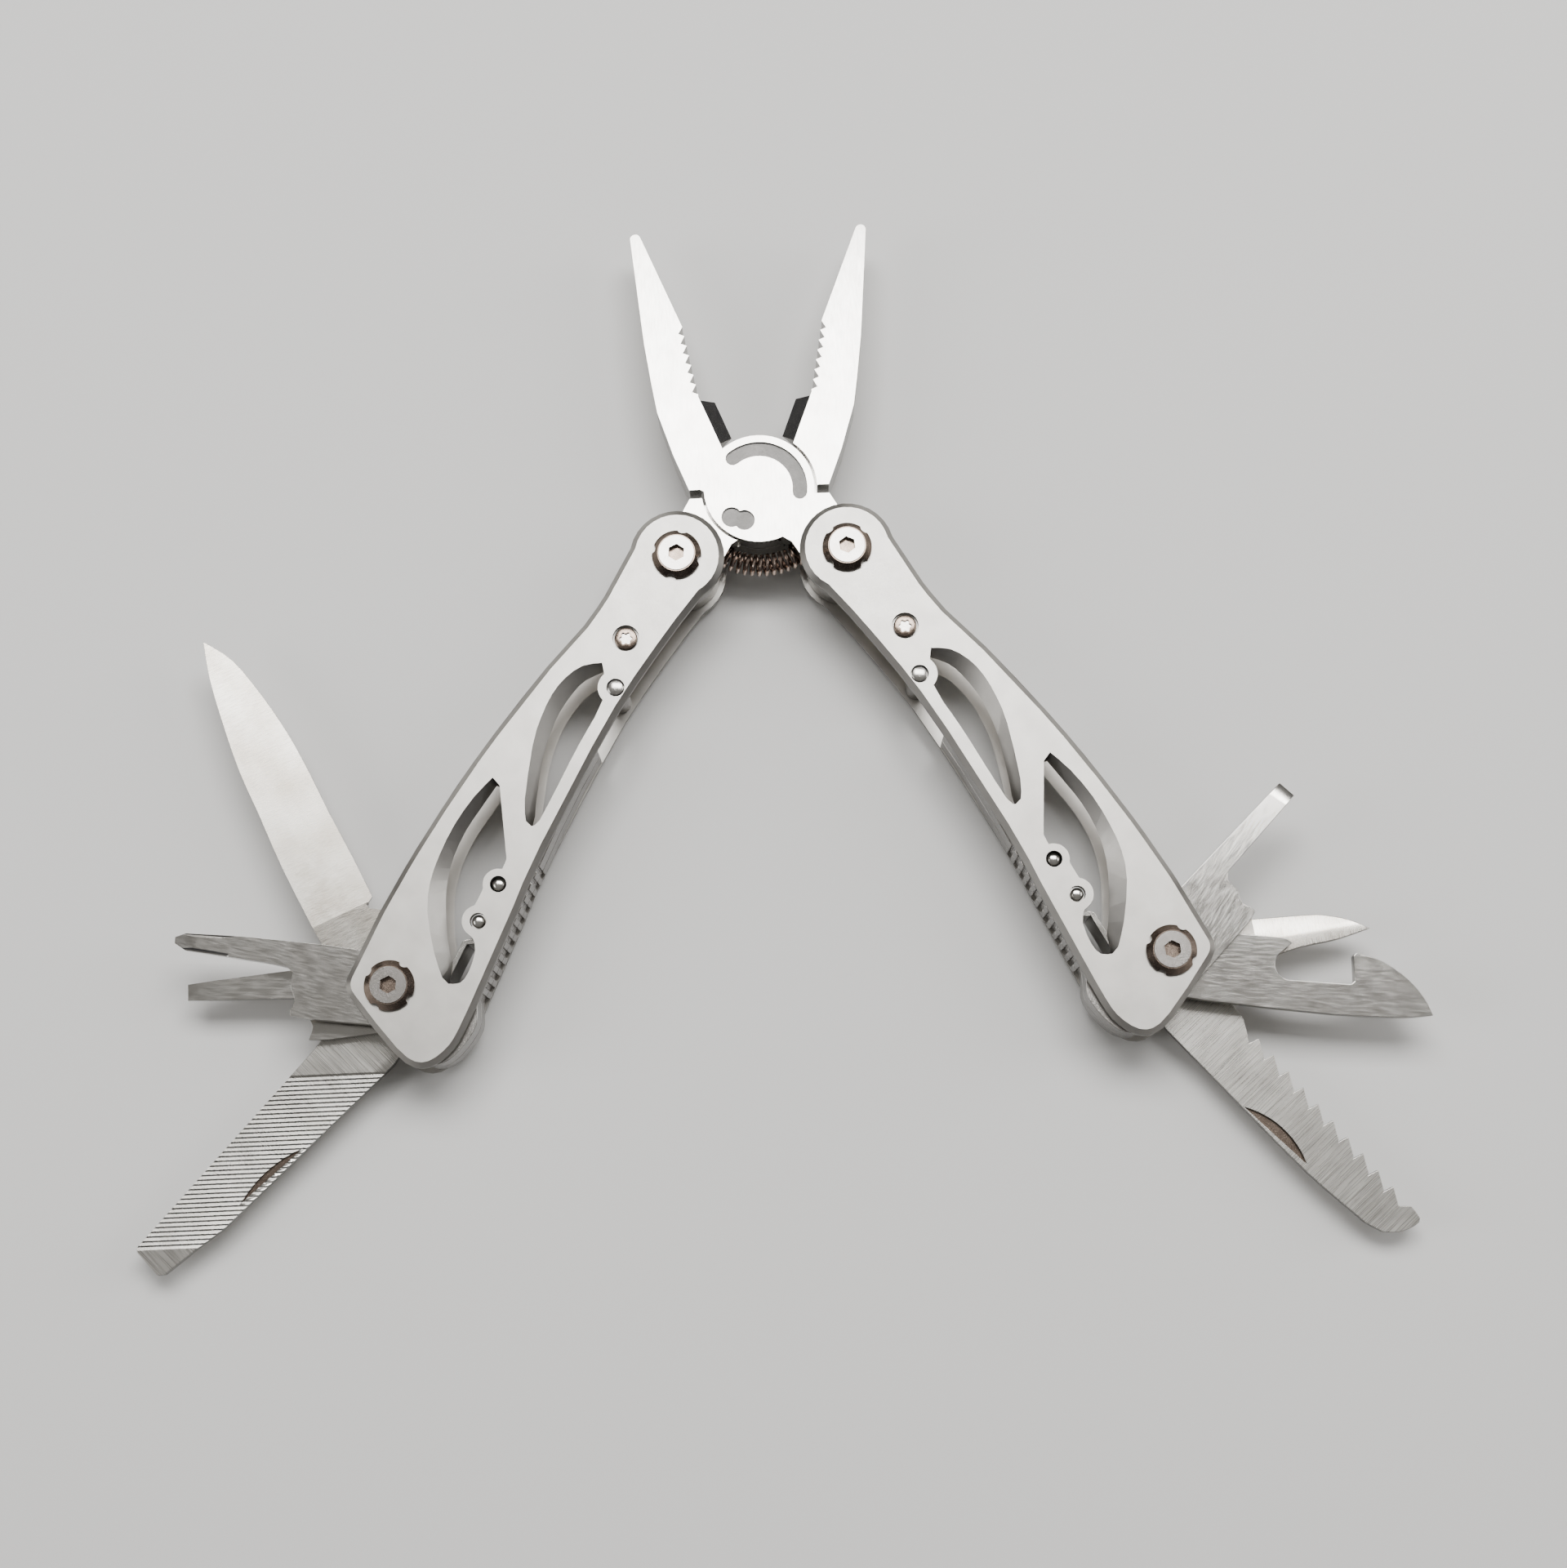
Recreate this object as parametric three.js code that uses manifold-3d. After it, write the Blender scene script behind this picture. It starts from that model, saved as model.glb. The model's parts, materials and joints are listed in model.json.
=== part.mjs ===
// A spring-loaded plier multi-tool, lying flat with its pliers sprung open, its two handles spread
// and four tools fanned out of the lower end of each handle.
// Millimetres, +Z up. The tool lies on the back heads of its pivot screws, at z = 0. Every pivot
// axis is parallel to Z. The finished group is centred over the origin.
import * as THREE from "three";
import { mergeVertices } from "three/addons/utils/BufferGeometryUtils.js";
import Module from "manifold-3d";

const wasm = await Module();
wasm.setup();

// ---------------------------------------------------------------- driving dimensions

const GAP = 0.3; // between pieces that bear on each other
const OVERCUT = 0.01; // how far a cutter passes a face that it opens
const LAYERS = [2.6, 2.0, 2.0, 2.0]; // thickness of the four tool layers, front to back
const PLATE = 1.7; // thickness of a handle plate
const PLATE_BEVEL = 0.9;
const HEAD_HEIGHT = 1.6; // pivot screw heads stand on the plates
const HEAD_GAP = 0.2;

const HANDLE_LENGTH = 84; // between the two pivots of a handle
const HANDLE_SPREAD = 35.1; // degrees from the centre line, pliers open
const TOP_PIVOT = { x: 14.0, y: -11.6 }; // of the right handle, from the pliers' own pivot
const JAW_OPENING = 21.5; // degrees of each jaw from the centre line
const JAW_THICKNESS = 8.2;
const DISC_RADIUS = 9.2;
const DISC_CLEARANCE = 9.65; // what turns round a disc half is cut back to this radius
const BOSS_RADIUS = 6.9;
const SPRING_RADIUS = 12.1; // the coil spring lies on an arc round the pliers' pivot
const POCKET_RADIUS = 2.35;

const PIVOT_BORE = 2.9; // radius of the holes that a pivot sleeve passes through
const SLEEVE_RADIUS = 2.6;
const TANG_RADIUS = 6.4; // rounded root of each tool

// ---------------------------------------------------------------- levels

const BACK_PLATE_Z = HEAD_HEIGHT + HEAD_GAP;
const CHANNEL_Z = BACK_PLATE_Z + PLATE;
const CHANNEL = LAYERS.reduce((sum, layer) => sum + layer, 0) + GAP * (LAYERS.length + 1);
const FRONT_PLATE_Z = CHANNEL_Z + CHANNEL;
const FRONT_FACE_Z = FRONT_PLATE_Z + PLATE;
const TOP_Z = FRONT_FACE_Z + HEAD_GAP + HEAD_HEIGHT;
const MID_Z = TOP_Z / 2;
const INNER_LOW_Z = CHANNEL_Z + GAP;
const INNER_HIGH_Z = FRONT_PLATE_Z - GAP;
const JAW_LOW_Z = MID_Z - JAW_THICKNESS / 2;
const JAW_HIGH_Z = MID_Z + JAW_THICKNESS / 2;

// The lowest and highest level of a tool layer, counted from the front.
function layerLevels(index) {
  const above = LAYERS.slice(0, index).reduce((sum, layer) => sum + layer + GAP, 0);
  const high = INNER_HIGH_Z - above;
  return [high - LAYERS[index], high];
}

// ---------------------------------------------------------------- shape helpers

const radians = THREE.MathUtils.degToRad;

function arc(x, y, radius, from, to, steps) {
  return Array.from({ length: steps + 1 }, (_, i) => {
    const angle = radians(from + ((to - from) * i) / steps);
    return [x + radius * Math.cos(angle), y + radius * Math.sin(angle)];
  });
}

// A smooth run through a few points, resampled to a number of steps.
function smooth(points, steps) {
  const curve = new THREE.SplineCurve(points.map(([x, y]) => new THREE.Vector2(x, y)));
  return curve.getPoints(steps).map((point) => [point.x, point.y]);
}

function outline(points) {
  return new THREE.Shape(points.map(([x, y]) => new THREE.Vector2(x, y)));
}

function plate(points, low, high) {
  const options = { depth: high - low, bevelEnabled: false };
  return new THREE.ExtrudeGeometry(outline(points), options).translate(0, 0, low);
}

// A prism whose section (first, z) runs along X or Y between two places.
function prismAlong(axis, section, from, to) {
  const options = { depth: to - from, bevelEnabled: false };
  const shape = new THREE.ExtrudeGeometry(outline(section), options);
  const [x, y, z] = [
    new THREE.Vector3(1, 0, 0),
    new THREE.Vector3(0, 1, 0),
    new THREE.Vector3(0, 0, 1),
  ];
  if (axis === "x") {
    return shape.applyMatrix4(new THREE.Matrix4().makeBasis(y, z, x)).translate(from, 0, 0);
  }
  return shape.applyMatrix4(new THREE.Matrix4().makeBasis(x, z, y.negate())).translate(0, to, 0);
}

function cylinder(radius, low, high, x = 0, y = 0, sides = 32) {
  const shape = new THREE.CylinderGeometry(radius, radius, high - low, sides);
  return shape.rotateX(Math.PI / 2).translate(x, y, (low + high) / 2);
}

// A turned piece: its profile [radius, level] starts and ends on the axis, lowest point first.
function turned(profile, sides = 32) {
  const points = profile.map(([radius, level]) => new THREE.Vector2(radius, level));
  return new THREE.LatheGeometry(points, sides).rotateX(Math.PI / 2);
}

// A solid between two outlines with the same number of points.
function loft(lowPoints, lowZ, highPoints, highZ) {
  const count = lowPoints.length;
  const positions = [
    ...lowPoints.flatMap(([x, y]) => [x, y, lowZ]),
    ...highPoints.flatMap(([x, y]) => [x, y, highZ]),
  ];
  const cap = (points) =>
    THREE.ShapeUtils.triangulateShape(points.map(([x, y]) => new THREE.Vector2(x, y)), []);
  const index = [];
  for (const [a, b, c] of cap(lowPoints)) {
    index.push(a, c, b);
  }
  for (const [a, b, c] of cap(highPoints)) {
    index.push(count + a, count + b, count + c);
  }
  for (let i = 0; i < count; i++) {
    const next = (i + 1) % count;
    index.push(i, next, count + next, i, count + next, count + i);
  }
  const shape = new THREE.BufferGeometry();
  shape.setAttribute("position", new THREE.Float32BufferAttribute(positions, 3));
  return shape.setIndex(index);
}

function toSolid(geometry) {
  const bare = geometry.clone();
  bare.deleteAttribute("normal");
  bare.deleteAttribute("uv");
  const merged = mergeVertices(bare, 1e-4);
  return new wasm.Manifold(
    new wasm.Mesh({
      numProp: 3,
      vertProperties: merged.attributes.position.array,
      triVerts: new Uint32Array(merged.index.array),
    }),
  );
}

function toGeometry(solid) {
  const mesh = solid.getMesh();
  const shape = new THREE.BufferGeometry();
  shape.setAttribute("position", new THREE.BufferAttribute(mesh.vertProperties.slice(), 3));
  return shape.setIndex(new THREE.BufferAttribute(mesh.triVerts.slice(), 1)).toNonIndexed();
}

function cut(geometry, ...tools) {
  return toGeometry(tools.reduce((left, tool) => left.subtract(toSolid(tool)), toSolid(geometry)));
}

function join(...pieces) {
  return toGeometry(pieces.map(toSolid).reduce((all, piece) => all.add(piece)));
}

function common(first, second) {
  return toGeometry(toSolid(first).intersect(toSolid(second)));
}

// A mirror image: each triangle is turned round so that it still faces out.
function mirrored(geometry, x, y, z) {
  const flipped = (geometry.index ? geometry.toNonIndexed() : geometry.clone()).scale(x, y, z);
  const { array } = flipped.attributes.position;
  for (let i = 0; i < array.length; i += 9) {
    for (let k = 3; k < 6; k++) {
      [array[i + k], array[i + k + 3]] = [array[i + k + 3], array[i + k]];
    }
  }
  return flipped;
}

// The same piece seen from the back: front and back hardware are mirror images.
function atTheBack(geometry) {
  return mirrored(geometry, 1, 1, -1).translate(0, 0, TOP_Z);
}

// ---------------------------------------------------------------- finishes

const FINISHES = {
  satin: { color: 0xc9c3b8, roughness: 0.42 },
  polished: { color: 0xd8d4cc, roughness: 0.18 },
  blade: { color: 0xcfcabf, roughness: 0.22 },
  brushed: { color: 0xd2cdc2, roughness: 0.35 },
  hardware: { color: 0xb8b1a6, roughness: 0.25 },
  spring: { color: 0x5e4a42, roughness: 0.3 },
};

function named(name, geometry, finish) {
  const material = new THREE.MeshStandardMaterial({ ...FINISHES[finish], metalness: 1 });
  geometry.computeVertexNormals();
  const mesh = new THREE.Mesh(geometry, material);
  mesh.name = name;
  return mesh;
}

// ---------------------------------------------------------------- handle plates
// Handle coordinates: the lower pivot is at 0, 0, the upper one at 0, HANDLE_LENGTH, and +x is the
// outer side, where the tools open. The spine with the lock bars is on the -x side.

const RIVET = [-3.7, 60];
const SPACER = [-0.6, 67.8];
const LOCK_PIN = [-5.5, 22.9];
const STOP_PIN = [-6.1, 16.2];
const PIN_RADIUS = 1.05;
const RIVET_RADIUS = 1.25;
const RIVET_FIT = 0.25; // round the rivet in the plates
const PIN_SUNK = 0.35; // the pins end this far below the plates' faces
const PIN_DOME = 0.45;

const PLATE_OUTLINE = [
  ...arc(0, HANDLE_LENGTH, 7.8, -22, 205, 20),
  ...smooth([[-6.6, 75], [-6.2, 65], [-6.3, 56], [-7.4, 43], [-9.0, 29], [-10.4, 21.5]], 8),
  ...smooth([[-12.2, 11], [-13.9, 1], [-14.0, -3.6], [-12.2, -7.6], [-8.4, -8.8], [-1.2, -6.9]], 14),
  ...arc(3.4, -1.8, 3.3, -72, -8, 5),
  ...smooth([[8.2, 9], [8.8, 17], [9.1, 24], [9.2, 33], [8.9, 43], [7.8, 57], [6.5, 66], [6.4, 72]], 14),
];

// Each window has a curved outer side that slopes back to a ledge, and an inner side that keeps
// round the rivet or the pins.
const UPPER_WINDOW = {
  rim: [
    [0.4, 62.3], [2.8, 60.2], [4.1, 57], [4.4, 53.5],
    [3.8, 49.4], [2.4, 44.8], [-1.5, 36.6], [-3.6, 33.8],
  ],
  ledge: [
    [-0.4, 61.4], [1.3, 58.7], [1.9, 56], [2.0, 52],
    [1.4, 48.4], [0.2, 44.3], [-2.7, 38], [-4.1, 35.4],
  ],
  inner: [
    ...smooth([[-4.8, 33.6], [-5.4, 35.2], [-4.6, 42.5], [-3.9, 49], [-3.6, 54]], 8),
    ...arc(...RIVET, 2.9, -78, 18, 8),
  ],
};
const LOWER_WINDOW = {
  rim: [
    [4.9, 36.9], [5.7, 32.5], [5.8, 27], [5.1, 21.8],
    [3.9, 17.3], [1.6, 13.1], [-3.0, 8.2], [-6.3, 5.6],
  ],
  ledge: [
    [3.9, 36.2], [4.0, 31.5], [4.0, 27.5], [3.3, 22.9],
    [2.0, 19.2], [0.3, 16.1], [-3.2, 11.4], [-6.1, 8.4],
  ],
  inner: [
    ...smooth([[-7.7, 5.3], [-9.2, 6.4], [-9.4, 8.6], [-8.4, 12.0], [-6.9, 13.5]], 8),
    ...arc(...STOP_PIN, 2.6, -88, 45, 9),
    ...arc(...LOCK_PIN, 2.5, -50, 72, 8),
    [-4.4, 27.0],
    [3.2, 36.4],
  ],
};

function windowCutter({ rim, ledge, inner }) {
  const steps = 14;
  const low = [...smooth(ledge, steps), ...inner];
  const high = [...smooth(rim, steps), ...inner];
  // The outer side is listed downwards, which is clockwise, so both outlines are turned round.
  return loft(low.reverse(), FRONT_PLATE_Z - OVERCUT, high.reverse(), FRONT_FACE_Z + OVERCUT);
}

function frontPlate() {
  const spare = 2; // cut off again below, so that only the front edge is bevelled
  const waste = { width: 100, length: 300, depth: 20 }; // all that lies under the plate
  const blank = new THREE.ExtrudeGeometry(outline(PLATE_OUTLINE), {
    depth: PLATE - PLATE_BEVEL + spare,
    bevelThickness: PLATE_BEVEL,
    bevelSize: PLATE_BEVEL,
    bevelOffset: -PLATE_BEVEL,
    bevelSegments: 1,
  }).translate(0, 0, FRONT_PLATE_Z - spare);
  const below = new THREE.BoxGeometry(waste.width, waste.length, waste.depth)
    .translate(0, 0, FRONT_PLATE_Z - waste.depth / 2);
  const through = [FRONT_PLATE_Z - 1, FRONT_FACE_Z + 1];
  const headSeat = FRONT_FACE_Z - SPACER_HEAD.depth;
  return cut(
    blank,
    below,
    windowCutter(UPPER_WINDOW),
    windowCutter(LOWER_WINDOW),
    cylinder(PIVOT_BORE, ...through, 0, 0, 20),
    cylinder(PIVOT_BORE, ...through, 0, HANDLE_LENGTH, 20),
    cylinder(SPACER_HEAD.bore, ...through, ...SPACER, 12),
    cylinder(SPACER_HEAD.seat, headSeat, FRONT_FACE_Z + 1, ...SPACER, 20),
    cylinder(RIVET_RADIUS + RIVET_FIT, ...through, ...RIVET, 16),
    cylinder(PIN_RADIUS + GAP, ...through, ...LOCK_PIN, 16),
    cylinder(PIN_RADIUS + GAP, ...through, ...STOP_PIN, 16),
  );
}

// ---------------------------------------------------------------- screws, pins and rivets

const HEAD = {
  radius: 4.05,
  face: 2.95, // the flat top
  rim: 0.35,
  chamfer: [0.35, 0.3], // out and down from the flat top
  notchWidth: 2.1,
  notchReach: 3.3,
};
const HEX_RADIUS = 2.5 / Math.sqrt(3);
const SOCKET_DEPTH = 1.3;
const SHANK_RADIUS = 1.5;
const SLEEVE_BORE = 1.8;
const SPACER_HEAD = { radius: 1.9, seat: 2.2, depth: 1.0, bore: 1.15, shank: 0.85, sunk: 0.1 };
const LOBED = { radius: 1.1, depth: 0.45 };
const SPACER_RADIUS = 1.9;

// What is cut out of a pivot screw's head at the front: a hexagon socket, and four notches round
// its skirt.
function headCuts(turn) {
  const seat = FRONT_FACE_Z + HEAD_GAP + HEAD.rim;
  const socket = new THREE.CylinderGeometry(HEX_RADIUS, HEX_RADIUS, SOCKET_DEPTH * 2, 6)
    .rotateX(Math.PI / 2)
    .translate(0, 0, TOP_Z);
  const notches = [0, 90, 180, 270].map((angle) =>
    new THREE.BoxGeometry(2, HEAD.notchWidth, 4)
      .translate(HEAD.notchReach + 1, 0, seat + 2)
      .rotateZ(radians(angle + turn)),
  );
  return [socket, ...notches];
}

function pivotScrew(turn) {
  const head = FRONT_FACE_Z + HEAD_GAP;
  const body = turned([
    [0, INNER_LOW_Z + 1],
    [SHANK_RADIUS, INNER_LOW_Z + 1],
    [SHANK_RADIUS, head],
    [HEAD.radius, head],
    [HEAD.radius, head + HEAD.rim],
    [HEAD.face + HEAD.chamfer[0], TOP_Z - HEAD.chamfer[1]],
    [HEAD.face, TOP_Z],
    [0, TOP_Z],
  ], 28);
  return cut(body, ...headCuts(turn));
}

// The sleeve that the tools turn on, in one piece with the back head.
function pivotBarrel(turn) {
  const head = FRONT_FACE_Z + HEAD_GAP;
  const far = BACK_PLATE_Z + HEAD_GAP; // the sleeve stops inside the other plate
  const body = turned([
    [0, far],
    [SLEEVE_RADIUS, far],
    [SLEEVE_RADIUS, head],
    [HEAD.radius, head],
    [HEAD.radius, head + HEAD.rim],
    [HEAD.face + HEAD.chamfer[0], TOP_Z - HEAD.chamfer[1]],
    [HEAD.face, TOP_Z],
    [0, TOP_Z],
  ], 28);
  const bore = cylinder(SLEEVE_BORE, 0, FRONT_PLATE_Z, 0, 0, 16);
  return atTheBack(cut(body, bore, ...headCuts(turn)));
}

// A six-lobed recess.
function lobedRecess(radius, depth, top) {
  const points = Array.from({ length: 24 }, (_, i) => {
    const angle = (i / 24) * Math.PI * 2;
    const reach = radius * (0.86 + 0.14 * Math.cos(6 * angle));
    return [reach * Math.cos(angle), reach * Math.sin(angle)];
  });
  return plate(points, top - depth, top + 1);
}

function spacerScrew() {
  const top = FRONT_FACE_Z - SPACER_HEAD.sunk;
  const under = FRONT_FACE_Z - SPACER_HEAD.depth + GAP;
  const end = MID_Z + GAP * 2; // the two screws stop short of each other
  const body = turned([
    [0, end],
    [SPACER_HEAD.shank, end],
    [SPACER_HEAD.shank, under],
    [SPACER_HEAD.radius, under],
    [SPACER_HEAD.radius, top - 0.2],
    [SPACER_HEAD.radius - 0.2, top],
    [0, top],
  ], 16);
  return cut(body, lobedRecess(LOBED.radius, LOBED.depth, top)).translate(...SPACER, 0);
}

function spacerTube() {
  const bore = cylinder(SPACER_HEAD.bore, 0, TOP_Z, 0, 0, 12);
  const tube = cylinder(SPACER_RADIUS, INNER_LOW_Z, INNER_HIGH_Z, 0, 0, 20);
  return cut(tube, bore).translate(...SPACER, 0);
}

function shoulderRivet() {
  return turned([
    [0, BACK_PLATE_Z],
    [RIVET_RADIUS, BACK_PLATE_Z],
    [RIVET_RADIUS, INNER_LOW_Z],
    [SPACER_RADIUS, INNER_LOW_Z],
    [SPACER_RADIUS, INNER_HIGH_Z],
    [RIVET_RADIUS, INNER_HIGH_Z],
    [RIVET_RADIUS, FRONT_FACE_Z],
    [0, FRONT_FACE_Z],
  ], 18).translate(...RIVET, 0);
}

// A pin with domed ends, a little below the faces of both plates.
function domedPin([x, y]) {
  const low = BACK_PLATE_Z + PIN_SUNK;
  const high = FRONT_FACE_Z - PIN_SUNK;
  const dome = arc(0, 0, 1, 0, 90, 3).map(([across, up]) => [across * PIN_RADIUS, up * PIN_DOME]);
  const profile = [
    ...dome.toReversed().map(([across, up]) => [across, low + PIN_DOME - up]),
    ...dome.map(([across, up]) => [across, high - PIN_DOME + up]),
  ];
  return turned(profile, 14).translate(x, y, 0);
}

// ---------------------------------------------------------------- lock bars and their spring

const JIMP = { first: 6, last: 30, count: 12, depth: 0.55 };

// Where the spine edge of a lock bar runs, level with the plates' edge.
function spineAt(y) {
  return -13.05 + 0.166 * (y - JIMP.first);
}

function jimping() {
  const pitch = (JIMP.last - JIMP.first) / JIMP.count;
  return Array.from({ length: JIMP.count }, (_, i) => {
    const y = JIMP.last - i * pitch;
    return [
      [spineAt(y), y],
      [spineAt(y - pitch * 0.5), y - pitch * 0.5],
      [spineAt(y - pitch * 0.55) + JIMP.depth, y - pitch * 0.55],
      [spineAt(y - pitch) + JIMP.depth, y - pitch * 0.95],
    ];
  }).flat();
}

// A rocker: it turns on the lock pin, its tooth bears on the tool roots, and its end tab stands
// proud of the spine for the thumb.
function lockBar(low, high) {
  const profile = [
    [-5.0, 50],
    [-6.6, 50],
    [-7.1, 44],
    [-8.1, 36],
    ...jimping(),
    ...smooth([[-13.6, 4.4], [-14.9, 2.2], [-15.0, -1.5], [-14.2, -4.9], [-12.4, -7.0]], 12),
    [-10.9, -3.4],
    [-10.0, 0.6],
    [-6.9, 1.4],
    [-6.9, 3.6],
    [-9.9, 4.6],
    [-10.1, 8],
    [-9.3, 13],
    ...smooth([[-8.8, 16.2], [-8.3, 18.6], [-7.4, 20.6]], 5),
    [-7.4, 25.4],
    [-6.4, 30],
    [-5.9, 36],
    [-5.1, 44],
  ];
  const boss = cylinder(2.05, low, high, ...LOCK_PIN, 20);
  const hole = cylinder(PIN_RADIUS + GAP, low - 1, high + 1, ...LOCK_PIN, 16);
  return cut(join(plate(profile, low, high), boss), hole);
}

// A leaf that hooks round the stop pin and ends in a straight finger beside the tool roots.
function lockSpring() {
  const half = 0.42;
  const spine = [
    ...smooth([[-5.4, 20.0], [-7.3, 18.7], [-7.85, 16.2], [-7.3, 13.7], [-5.9, 12.3]], 14),
    [-6.3, 9],
    [-6.75, 5.7],
  ];
  const sides = [1, -1].map((side) =>
    spine.map(([x, y], i) => {
      const [beforeX, beforeY] = spine[Math.max(i - 1, 0)];
      const [afterX, afterY] = spine[Math.min(i + 1, spine.length - 1)];
      const length = Math.hypot(afterX - beforeX, afterY - beforeY);
      const across = [(afterY - beforeY) / length, (beforeX - afterX) / length];
      return [x - side * half * across[0], y - side * half * across[1]];
    }),
  );
  return plate([...sides[0], ...sides[1].toReversed()].reverse(), INNER_LOW_Z, INNER_HIGH_Z);
}

// ---------------------------------------------------------------- tools
// Tool coordinates: folded, with the pivot at 0, 0. +y runs up the handle and +x to its outer side.

// A tool's blank: its body outline joined to a round root with the pivot bore.
function toolBlank(points, [low, high]) {
  const root = cylinder(TANG_RADIUS, low, high, 0, 0, 32);
  const bore = cylinder(PIVOT_BORE, low - 1, high + 1, 0, 0, 20);
  return cut(join(plate(points, low, high), root), bore);
}

// Wedges that thin a tool along its length, from its full thickness at one place to a given
// thickness at another.
function endTaper([low, high], from, to, thickness, width = 40) {
  const rise = ((high - low - thickness) / 2 / (to - from)) * (to + 2 - from);
  const middle = (low + high) / 2;
  const front = [[from, high], [to + 2, high - rise], [to + 2, high + 1], [from, high + 1]];
  const back = front.map(([y, z]) => [y, 2 * middle - z]).reverse();
  return [front, back].map((section) => prismAlong("x", section, -width / 2, width / 2));
}

// Wedges that thin a blade across its width, from its back at one x to its edge at another.
function edgeGrind([low, high], back, edge, thickness, from, to) {
  const middle = (low + high) / 2;
  const sign = Math.sign(edge - back);
  const reach = edge + 4 * sign;
  const fall = ((high - low - thickness) / 2 / Math.abs(edge - back)) * Math.abs(reach - back);
  let front = [[back, high], [reach, high - fall], [reach, high + 1], [back, high + 1]];
  if (sign < 0) {
    front = front.reverse();
  }
  const rear = front.map(([x, z]) => [x, 2 * middle - z]).reverse();
  return [front, rear].map((section) => prismAlong("y", section, from, to));
}

// A lens-shaped thumbnail nick in the front face, between two ends.
function nailNick([x0, y0], [x1, y1], bulge, top) {
  const length = Math.hypot(x1 - x0, y1 - y0);
  const radius = (length * length / 4 + bulge * bulge) / (2 * bulge);
  const half = THREE.MathUtils.radToDeg(Math.asin(length / 2 / radius));
  const bow = arc(0, bulge - radius, radius, 90 - half, 90 + half, 12);
  return plate(bow, top - 0.6, top + 1)
    .rotateZ(Math.atan2(y1 - y0, x1 - x0))
    .translate((x0 + x1) / 2, (y0 + y1) / 2, 0);
}

function knife(levels) {
  const [low, high] = levels;
  const back = smooth([
    [7.9, 14.5], [8.4, 26], [8.3, 36], [8.3, 43.5], [7.6, 52], [6.5, 60.2], [5.0, 66.3],
  ], 18);
  const edge = smooth([
    [5.0, 66.3], [2.0, 61.5], [0.1, 54.5], [-1.2, 47],
    [-1.8, 40], [-2.1, 30.7], [-2.6, 22], [-2.8, 15.4],
  ], 20);
  const body = [[6.5, 0], ...back, ...edge.slice(1), [-1.5, 14.6], [-1.5, 13.9], [-3.5, 12.6], [-4.8, 4]];
  const thin = Math.min(high - low, 2);
  return cut(
    toolBlank(body, levels),
    ...edgeGrind(levels, 8.6, -1.5, thin * 0.3, 14.8, 70),
    ...edgeGrind(levels, -0.6, -2.6, thin * 0.3, 15.4, 46),
  );
}

function phillipsDriver(levels) {
  const [low, high] = levels;
  const middle = (low + high) / 2;
  const body = [
    [6.3, 0],
    [8.1, 12.2],
    [8.2, 14.6],
    ...smooth([[7.4, 14.9], [6.2, 14.5], [5.2, 14.7], [4.2, 15.5], [3.0, 15.9], [1.4, 16.0]], 8),
    ...smooth([[0.8, 17.2], [0.9, 21], [1.4, 27]], 4),
    [2.0, 34.0],
    [1.3, 36.0],
    [0.3, 36.2],
    [-0.7, 34.6],
    [-2.3, 25.4],
    [-4.0, 12.8],
    [-4.8, 4],
  ];
  // Four flutes run up to the point, which is also thinned from both faces.
  const lean = Math.atan2(3.0, 22);
  const flute = { tip: 1.35, root: 0.55, length: 11, x: 0.35, y: 32.3, apart: 1.75, off: 1.65 };
  const flutes = [-1, 1].flatMap((side) =>
    [-1, 1].map((face) =>
      new THREE.CylinderGeometry(flute.tip, flute.root, flute.length, 12)
        .rotateZ(-lean)
        .translate(flute.x + side * flute.apart, flute.y, middle + face * flute.off),
    ),
  );
  return cut(toolBlank(body, levels), ...flutes, ...endTaper(levels, 32.3, 36.2, 1.0));
}

function flatDriver(levels) {
  const body = [
    [6.5, 0],
    [8.2, 10.5],
    [8.4, 13.8],
    ...smooth([[7.2, 13.4], [6.2, 13.3], [5.2, 13.8], [3.6, 15.2], [1.7, 16.4]], 8),
    [2.5, 33.9],
    [-0.1, 34.1],
    [-1.0, 28.6],
    [-2.8, 17.3],
    [-3.9, 11.5],
    [-4.8, 4],
  ];
  return cut(toolBlank(body, levels), ...endTaper(levels, 28.4, 33.9, 0.9));
}

function file(levels) {
  const body = [
    [6.4, 0],
    [7.9, 9],
    [7.9, 11.5],
    [7.4, 46],
    [6.6, 51.4],
    [5.9, 57.8],
    [5.2, 58.6],
    [0.1, 58.4],
    [-0.4, 57.8],
    [-3.1, 16.0],
    [-3.8, 11],
    [-4.8, 4],
  ];
  return cut(toolBlank(body, levels), nailNick([7.1, 28.5], [6.4, 41.5], 1.1, levels[1]));
}

function smallDriver(levels) {
  const body = [
    [6.4, 0],
    [7.8, 11.5],
    [7.6, 13.4],
    ...smooth([[6.6, 13.6], [5.6, 13.3], [4.5, 13.7], [3.6, 14.6], [2.2, 14.9], [1.2, 15.1]], 8),
    [0.5, 16.2],
    [2.4, 33.0],
    [-0.7, 33.4],
    [-4.3, 10],
    [-4.8, 4],
  ];
  return cut(toolBlank(body, levels), ...endTaper(levels, 30.6, 33.3, 0.7));
}

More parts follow.
